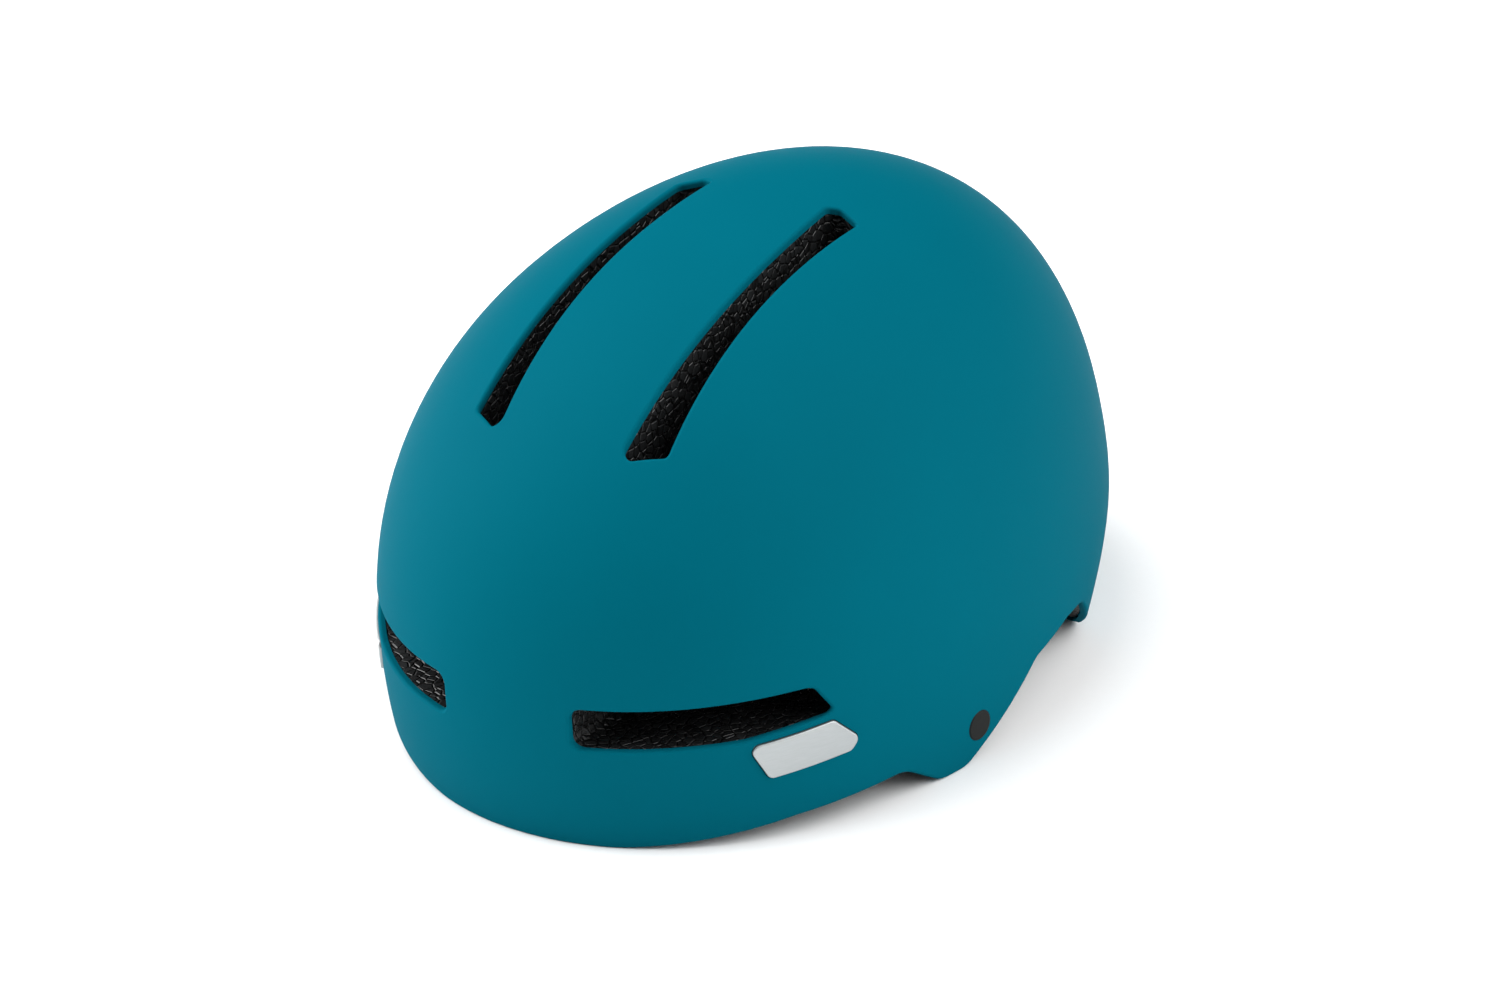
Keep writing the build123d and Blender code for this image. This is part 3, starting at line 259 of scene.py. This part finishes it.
# %% Moulded black plastic
TOOL_GRAIN = 0.28 * MM
nylon, tree, shader = start_finish("spark_grained_nylon")
place = add_node(tree, "ShaderNodeTexCoord")
grain = add_node(tree, "ShaderNodeTexNoise", None, Vector=place.outputs["Object"], Scale=1 / TOOL_GRAIN, Detail=2.0)
shades = add_node(tree, "ShaderNodeMix", {"data_type": "RGBA"}, _0=grain.outputs["Fac"],
                  _6=linear("040606"), _7=linear("0A0D0C"))
tree.links.new(shades.outputs[2], shader.inputs["Base Color"])
gloss = add_node(tree, "ShaderNodeMapRange", None, Value=grain.outputs["Fac"], To_Min=0.42, To_Max=0.58)
tree.links.new(gloss.outputs["Result"], shader.inputs["Roughness"])
dents = add_node(tree, "ShaderNodeBump", None, Height=grain.outputs["Fac"], Distance=0.03 * MM, Strength=0.5)
tree.links.new(dents.outputs["Normal"], shader.inputs["Normal"])
shader.inputs["Specular IOR Level"].default_value = 0.16
moulded = [name for name, cad in nodes.items()
           if "plastic_black" in (row.name for row in cad.data.materials if row)]
paint(moulded, nylon)
print("finish", nylon.name)

# %% [markdown]
# The dial's grip and the strap keeper are soft moulded rubber, duller than the
# nylon and slightly dusty. Rubber has no crisp highlight, so its roughness is
# high and its colour is lifted a little.

# %% Soft rubber
DUST = 1.5 * MM
rubber, tree, shader = start_finish("moulded_rubber")
place = add_node(tree, "ShaderNodeTexCoord")
dust = add_node(tree, "ShaderNodeTexNoise", None, Vector=place.outputs["Object"], Scale=1 / DUST, Detail=4.0)
shades = add_node(tree, "ShaderNodeMix", {"data_type": "RGBA"}, _0=dust.outputs["Fac"],
                  _6=linear("1C1C1D"), _7=linear("2E2E30"))
tree.links.new(shades.outputs[2], shader.inputs["Base Color"])
gloss = add_node(tree, "ShaderNodeMapRange", None, Value=dust.outputs["Fac"], To_Min=0.66, To_Max=0.82)
tree.links.new(gloss.outputs["Result"], shader.inputs["Roughness"])
dents = add_node(tree, "ShaderNodeBump", None, Height=dust.outputs["Fac"], Distance=0.04 * MM, Strength=0.4)
tree.links.new(dents.outputs["Normal"], shader.inputs["Normal"])
paint(["dial_grip", "strap_ring"], rubber)
print("finish", rubber.name)

# %% [markdown]
# The click spring and the screw are spring steel: a metal, so its colour is in
# its reflection, with fine rolling lines along one direction.

# %% Spring steel
ROLLING_LINE = 0.2 * MM
steel, tree, shader = start_finish("rolled_spring_steel")
place = add_node(tree, "ShaderNodeTexCoord")
stretch = add_node(tree, "ShaderNodeMapping", None, Vector=place.outputs["Object"], Scale=(1.0, 1.0, 0.1))
lines = add_node(tree, "ShaderNodeTexNoise", None, Vector=stretch.outputs["Vector"],
                 Scale=1 / ROLLING_LINE, Detail=2.0)
shades = add_node(tree, "ShaderNodeMix", {"data_type": "RGBA"}, _0=lines.outputs["Fac"],
                  _6=linear("A9A9AB"), _7=linear("C4C4C6"))
tree.links.new(shades.outputs[2], shader.inputs["Base Color"])
gloss = add_node(tree, "ShaderNodeMapRange", None, Value=lines.outputs["Fac"], To_Min=0.25, To_Max=0.4)
tree.links.new(gloss.outputs["Result"], shader.inputs["Roughness"])
shader.inputs["Metallic"].default_value = 1.0
paint(["detent_spring", "dial_screw"], steel)
print("finish", steel.name)

# %% [markdown]
# The pads are soft foam in a brushed knit. The knit has ribs about 1.1 mm apart
# with short loops across them, and a fuzz that catches light at the edges,
# which the shader's sheen gives. The hook dots are the stiff side of a
# hook-and-loop tape: rows of small bristles.

# %% Brushed knit and hook tape
RIB = 1.1 * MM
LOOP = 0.9 * MM
BRISTLE = 0.8 * MM
knit, tree, shader = start_finish("brushed_knit")
place = add_node(tree, "ShaderNodeTexCoord")
ribs = add_node(tree, "ShaderNodeTexWave", {"wave_type": "BANDS", "bands_direction": "DIAGONAL"},
                Vector=place.outputs["Object"], Scale=0.3 / RIB, Distortion=1.5, Detail=1.0)
loops = add_node(tree, "ShaderNodeTexVoronoi", None, Vector=place.outputs["Object"],
                 Scale=1 / LOOP, Randomness=0.6)
height = add_node(tree, "ShaderNodeMath", {"operation": "MULTIPLY_ADD"}, _0=loops.outputs["Distance"], _1=-0.9,
                  _2=ribs.outputs["Fac"])
shades = add_node(tree, "ShaderNodeMix", {"data_type": "RGBA"}, _0=height.outputs[0],
                  _6=linear("0E0E10"), _7=linear("242427"))
tree.links.new(shades.outputs[2], shader.inputs["Base Color"])
dents = add_node(tree, "ShaderNodeBump", None, Height=height.outputs[0], Distance=0.25 * MM, Strength=0.8)
tree.links.new(dents.outputs["Normal"], shader.inputs["Normal"])
shader.inputs["Roughness"].default_value = 0.95
shader.inputs["Specular IOR Level"].default_value = 0.15
shader.inputs["Sheen Weight"].default_value = 0.35
shader.inputs["Sheen Roughness"].default_value = 0.5

hooks, tree, shader = start_finish("hook_tape")
place = add_node(tree, "ShaderNodeTexCoord")
bristles = add_node(tree, "ShaderNodeTexVoronoi", None, Vector=place.outputs["Object"],
                    Scale=1 / BRISTLE, Randomness=0.2)
shades = add_node(tree, "ShaderNodeMix", {"data_type": "RGBA"}, _0=bristles.outputs["Distance"],
                  _6=linear("2A2A2C"), _7=linear("0D0D0E"))
tree.links.new(shades.outputs[2], shader.inputs["Base Color"])
dents = add_node(tree, "ShaderNodeBump", {"invert": True}, Height=bristles.outputs["Distance"], Distance=0.4 * MM)
tree.links.new(dents.outputs["Normal"], shader.inputs["Normal"])
shader.inputs["Roughness"].default_value = 0.7
paint(["hook_dots"], hooks)
print("finishes", knit.name, hooks.name)

# %% [markdown]
# Webbing is woven flat from polyester yarn. Its face shows slanting ribs about
# 1.4 mm apart that meet in a chevron along the middle, and a tight selvedge at
# each edge. The pattern follows the strap, so it reads the strap's own UV map,
# which is laid out in metres: u along the length, v across the width.

# %% Woven webbing
YARN = 1.4 * MM
WEB_WIDTH = 15 * MM
webbing, tree, shader = start_finish("woven_polyester")
place = add_node(tree, "ShaderNodeTexCoord")
split = add_node(tree, "ShaderNodeSeparateXYZ", None, Vector=place.outputs["UV"])
centred = add_node(tree, "ShaderNodeMath", {"operation": "ABSOLUTE"}, _0=split.outputs["Y"])
slant = add_node(tree, "ShaderNodeMath", {"operation": "ADD"}, _0=split.outputs["X"], _1=centred.outputs[0])
turns = add_node(tree, "ShaderNodeMath", {"operation": "MULTIPLY"}, _0=slant.outputs[0], _1=2 * math.pi / YARN)
ridge = add_node(tree, "ShaderNodeMath", {"operation": "SINE"}, _0=turns.outputs[0])
cross = add_node(tree, "ShaderNodeMath", {"operation": "MULTIPLY"}, _0=split.outputs["Y"], _1=2 * math.pi / YARN)
thread = add_node(tree, "ShaderNodeMath", {"operation": "SINE"}, _0=cross.outputs[0])
weave = add_node(tree, "ShaderNodeMath", {"operation": "MULTIPLY_ADD"}, _0=thread.outputs[0], _1=0.35,
                 _2=ridge.outputs[0])
height = add_node(tree, "ShaderNodeMapRange", None, Value=weave.outputs[0], From_Min=-1.35, From_Max=1.35)
shades = add_node(tree, "ShaderNodeMix", {"data_type": "RGBA"}, _0=height.outputs["Result"],
                  _6=linear("0D0D0F"), _7=linear("29292C"))
tree.links.new(shades.outputs[2], shader.inputs["Base Color"])
dents = add_node(tree, "ShaderNodeBump", None, Height=height.outputs["Result"], Distance=0.25 * MM, Strength=0.7)
tree.links.new(dents.outputs["Normal"], shader.inputs["Normal"])
shader.inputs["Roughness"].default_value = 0.75
shader.inputs["Sheen Weight"].default_value = 0.15
print("finish", webbing.name)

# %% [markdown]
# A strap is a flat band that stands on its edge and is led from the rivet to
# the divider and on to the buckle. The simplest true way is to start with a
# flat grid of the strap's cut size and bend it along its route, because cloth
# tape bends but hardly stretches. The grid's own UV map then still measures
# the tape, and the weave follows it. The left chin strap ends in the buckle's
# tongue, so it keeps its place but is not attached to the helmet body.

# %% A route with round bends
def rounded_route(corners, radius, step=1.5 * MM):
    """Points along straight runs joined by arcs, about a step apart."""
    points = [Vector(corners[0])]
    for before, corner, after in zip(corners, corners[1:], corners[2:]):
        back = (Vector(before) - Vector(corner)).normalized()
        ahead = (Vector(after) - Vector(corner)).normalized()
        half = back.angle(ahead) / 2
        reach = radius / math.tan(half)
        centre = Vector(corner) + (back + ahead).normalized() * radius / math.sin(half)
        start = Vector(corner) + back * reach - centre
        sweep = math.pi - 2 * half
        if back.x * ahead.y - back.y * ahead.x > 0:
            sweep = -sweep
        count = max(3, round(abs(sweep) * radius / step))
        for k in range(count + 1):
            turned = Matrix.Rotation(sweep * k / count, 2) @ start
            points.append(centre + turned)
    points.append(Vector(corners[-1]))
    return points


def place_on_route(points, distance):
    """Place and direction this far along a route."""
    for a, b in zip(points, points[1:]):
        run = (b - a).length
        if distance <= run or b is points[-1]:
            ahead = (b - a).normalized()
            return a + ahead * distance, ahead
        distance -= run


def route_length(points):
    return sum((b - a).length for a, b in zip(points, points[1:]))


print("bend helper ready")

# %% One strap
WEB_THICKNESS = 1.1 * MM
WEB_BEND = 9 * MM
WEB_MIDDLE = 10 * MM
WEB_EDGE = 0.35 * MM
STRAP_STEP = 1.6 * MM
STRAP_ROWS = 8
TONGUE_STRAP = "chin_strap_left"


def lay_strap(name, corners):
    """Bend a flat band along its route and put it in the place of its CAD node."""
    route = rounded_route(corners, WEB_BEND) if len(corners) > 2 else [Vector(c) for c in corners]
    length = route_length(route)
    bpy.ops.object.select_all(action="DESELECT")
    bpy.ops.mesh.primitive_grid_add(x_subdivisions=round(length / STRAP_STEP), y_subdivisions=STRAP_ROWS, size=1.0)
    strap = bpy.context.object
    strap.name = f"{name}_webbing"
    uv = strap.data.uv_layers.active
    for loop in strap.data.loops:
        flat = strap.data.vertices[loop.vertex_index].co
        uv.data[loop.index].uv = ((flat.x + 0.5) * length, flat.y * WEB_WIDTH)
    for vertex in strap.data.vertices:
        spot, ahead = place_on_route(route, (vertex.co.x + 0.5) * length)
        vertex.co = (spot.x, spot.y, WEB_MIDDLE + vertex.co.y * WEB_WIDTH)
    solid = strap.modifiers.new("thickness", "SOLIDIFY")
    solid.thickness = WEB_THICKNESS
    solid.offset = 0.0
    bpy.ops.object.modifier_apply(modifier="thickness")
    soften = strap.modifiers.new("soft_edge", "BEVEL")
    soften.width = WEB_EDGE
    soften.segments = 2
    soften.limit_method = "ANGLE"
    bpy.ops.object.modifier_apply(modifier="soft_edge")
    bpy.ops.object.shade_smooth_by_angle(angle=math.radians(40))
    strap.data.materials.append(webbing)
    if name == TONGUE_STRAP:
        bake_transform(strap)
    else:
        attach(strap, "helmet")
    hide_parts(name)
    print(name, "cut length", round(length * 1000, 1), "mm")
    return strap, length


print("strap helper ready")

# %% Straps
RIVET_TAB = [(83.53, -38.72), (81.03, -22.92)]
LANE_OUT = 73.5
LANE_IN = 69.5
FRONT_ROUTE = RIVET_TAB + [(LANE_OUT, 2.0), (LANE_OUT, 17.0)]
REAR_ROUTE = [(45.35, 55.99), (56.06, 44.10), (71.5, 38.0), (71.5, 31.0)]
CHIN_ROUTE = [(LANE_IN, 17.0), (LANE_IN, -4.0), (60.0, -46.0), (46.0, -72.0), (32.0, -84.0), (24.3, -84.0)]

for kind, route in (("front_strap", FRONT_ROUTE), ("rear_strap", REAR_ROUTE), ("chin_strap", CHIN_ROUTE)):
    for side, sign in (("left", 1), ("right", -1)):
        corners = [(sign * x * MM, y * MM) for x, y in route]
        strap, length = lay_strap(f"{kind}_{side}", corners)

# %% [markdown]
# A comfort pad is soft foam between two faces of knit, sewn flat around its
# edge. The CAD solid has its outline and its curve against the liner. A copy is
# shrunk a little, given an even mesh by a voxel remesh, and swollen with the
# Cloth modifier's pressure, so that its faces crown and its sides pull in. How
# far a point may move is capped, and the sewn channel is pressed in last,
# because the remesh would close it.

# %% Swell a pad
PAD_SHRINK = 0.7 * MM
PAD_VOXEL = 2.2 * MM
PAD_SWELL_CAP = 1.4 * MM
PAD_PRESSURE = 4.0
PAD_FRAMES = 20
PAD_MASS = 0.2
KNIT_STIFFNESS = 12
CHANNEL_INSET = 3.2 * MM
CHANNEL_DEPTH = 0.9 * MM
CHANNEL_WIDTH = 1.1 * MM
WELD = 0.01 * MM


def copy_of_node(name, piece_name):
    """A welded copy of a CAD node's mesh as a new piece, selected and active."""
    bpy.ops.object.select_all(action="DESELECT")
    piece = bpy.data.objects.new(piece_name, nodes[name].data.copy())
    bpy.context.scene.collection.objects.link(piece)
    piece.data.materials.clear()
    piece.select_set(True)
    bpy.context.view_layer.objects.active = piece
    bpy.ops.object.mode_set(mode="EDIT")
    bpy.ops.mesh.select_all(action="SELECT")
    bpy.ops.mesh.remove_doubles(threshold=WELD)
    bpy.ops.mesh.customdata_custom_splitnormals_clear()
    bpy.ops.object.mode_set(mode="OBJECT")
    return piece


def swell(piece):
    """Puff the active piece with cloth pressure and keep the result within the cap."""
    rest = [vertex.co.copy() for vertex in piece.data.vertices]
    cloth = piece.modifiers.new("puff", "CLOTH")
    cloth.settings.quality = 5
    cloth.settings.mass = PAD_MASS
    cloth.settings.tension_stiffness = KNIT_STIFFNESS
    cloth.settings.compression_stiffness = KNIT_STIFFNESS
    cloth.settings.use_pressure = True
    cloth.settings.uniform_pressure_force = PAD_PRESSURE
    cloth.settings.effector_weights.gravity = 0
    cloth.point_cache.frame_start = 1
    cloth.point_cache.frame_end = PAD_FRAMES
    for frame_number in range(1, PAD_FRAMES + 1):
        bpy.context.scene.frame_set(frame_number)
    bpy.ops.object.modifier_apply(modifier="puff")
    bpy.context.scene.frame_set(1)
    for vertex, start in zip(piece.data.vertices, rest):
        move = vertex.co - start
        if move.length > PAD_SWELL_CAP:
            vertex.co = start + move.normalized() * PAD_SWELL_CAP


def inset_from_edge(point, middle, half, across, along, corner):
    """Distance inside a rounded rectangle that is seen along one axis."""
    a = abs(point[across] - middle[across]) - (half[across] - corner)
    b = abs(point[along] - middle[along]) - (half[along] - corner)
    outside = math.hypot(max(a, 0.0), max(b, 0.0)) + min(max(a, b), 0.0)
    return corner - outside


def sewn_pad(name, across, along, corner, body="helmet"):
    """One comfort pad in the place of its CAD node; across and along span its face."""
    piece = copy_of_node(name, f"{name}_cushion")
    bpy.ops.object.mode_set(mode="EDIT")
    bpy.ops.mesh.select_all(action="SELECT")
    bpy.ops.transform.shrink_fatten(value=-PAD_SHRINK)
    bpy.ops.object.mode_set(mode="OBJECT")
    piece.data.remesh_voxel_size = PAD_VOXEL
    bpy.ops.object.voxel_remesh()
    swell(piece)
    round_off = piece.modifiers.new("round_off", "SUBSURF")
    round_off.levels = round_off.render_levels = 1
    bpy.ops.object.modifier_apply(modifier="round_off")
    low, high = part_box(name)
    middle, half = (low + high) / 2, (high - low) / 2
    normals = [vertex.normal.copy() for vertex in piece.data.vertices]
    for vertex, normal in zip(piece.data.vertices, normals):
        inset = inset_from_edge(vertex.co, middle, half, across, along, corner)
        press = math.exp(-((inset - CHANNEL_INSET) / CHANNEL_WIDTH) ** 2)
        vertex.co -= normal * CHANNEL_DEPTH * press
    bpy.ops.object.shade_smooth()
    piece.data.materials.append(knit)
    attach(piece, body)
    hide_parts(name)
    print(name, "cushion:", len(piece.data.polygons), "faces")
    return piece


print("pad helpers ready")

# %% Comfort pads
sewn_pad("brow_pad", 0, 2, 8 * MM)
sewn_pad("crown_pad", 0, 1, 12 * MM)
for side in ("left", "right"):
    sewn_pad(f"top_pad_{side}", 0, 1, 8 * MM)
    sewn_pad(f"side_pad_{side}", 1, 2, 10 * MM)
sewn_pad("cradle_pad", 0, 2, 6 * MM, body="cradle")

# %% [markdown]
# The chin sleeve is a padded tube that the left chin strap runs through. It
# starts as a block of the sleeve's size, cut into even strips, its long sides
# rounded and its ends drawn in to the strap, with a sewn seam near each end.

# %% Chin sleeve
SLEEVE_ENDS = [(58.9 * MM, -47.9 * MM), (47.1 * MM, -69.9 * MM)]
SLEEVE_THICKNESS = 7.0 * MM
SLEEVE_HEIGHT = 18.2 * MM
SLEEVE_SEAM = 2.6 * MM
SEAM_WIDTH = 0.7 * MM
SEAM_PINCH = 0.16
END_DRAW = 0.34
END_SHARPNESS = 8
SLEEVE_CUTS = 15

bpy.ops.object.select_all(action="DESELECT")
start, end = (Vector((x, y, 0.0)) for x, y in SLEEVE_ENDS)
span = (end - start).length
bearing = math.atan2(end.y - start.y, end.x - start.x)
bpy.ops.mesh.primitive_cube_add(size=1.0, scale=(span, SLEEVE_THICKNESS, SLEEVE_HEIGHT))
sleeve = bpy.context.object
sleeve.name = "chin_sleeve"
bpy.ops.object.transform_apply(location=True, rotation=True, scale=True)
bpy.ops.object.mode_set(mode="EDIT")
bpy.ops.mesh.select_all(action="SELECT")
bpy.ops.mesh.subdivide(number_cuts=SLEEVE_CUTS)
bpy.ops.object.mode_set(mode="OBJECT")
for vertex in sleeve.data.vertices:
    u = 2 * vertex.co.x / span
    v = 2 * vertex.co.y / SLEEVE_THICKNESS
    w = 2 * vertex.co.z / SLEEVE_HEIGHT
    draw = 1 - END_DRAW * abs(u) ** END_SHARPNESS
    seam = math.exp(-((abs(vertex.co.x) - span / 2 + SLEEVE_SEAM) / SEAM_WIDTH) ** 2)
    crown = (1 - SEAM_PINCH * seam) * draw
    vertex.co.y = SLEEVE_THICKNESS / 2 * v * math.sqrt(1 - 0.42 * w * w) * crown
    vertex.co.z = SLEEVE_HEIGHT / 2 * w * math.sqrt(1 - 0.12 * v * v) * (1 - 0.06 * abs(u) ** END_SHARPNESS)
place = Matrix.Translation((start + end) / 2 + Vector((0, 0, WEB_MIDDLE))) @ Matrix.Rotation(bearing, 4, "Z")
sleeve.data.transform(place)
round_off = sleeve.modifiers.new("round_off", "SUBSURF")
round_off.levels = round_off.render_levels = 1
bpy.ops.object.modifier_apply(modifier="round_off")
bpy.ops.object.shade_smooth()
sleeve.data.materials.append(knit)
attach(sleeve, "helmet")
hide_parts("chin_pad")
print("chin sleeve", round(span * 1000, 1), "mm long")
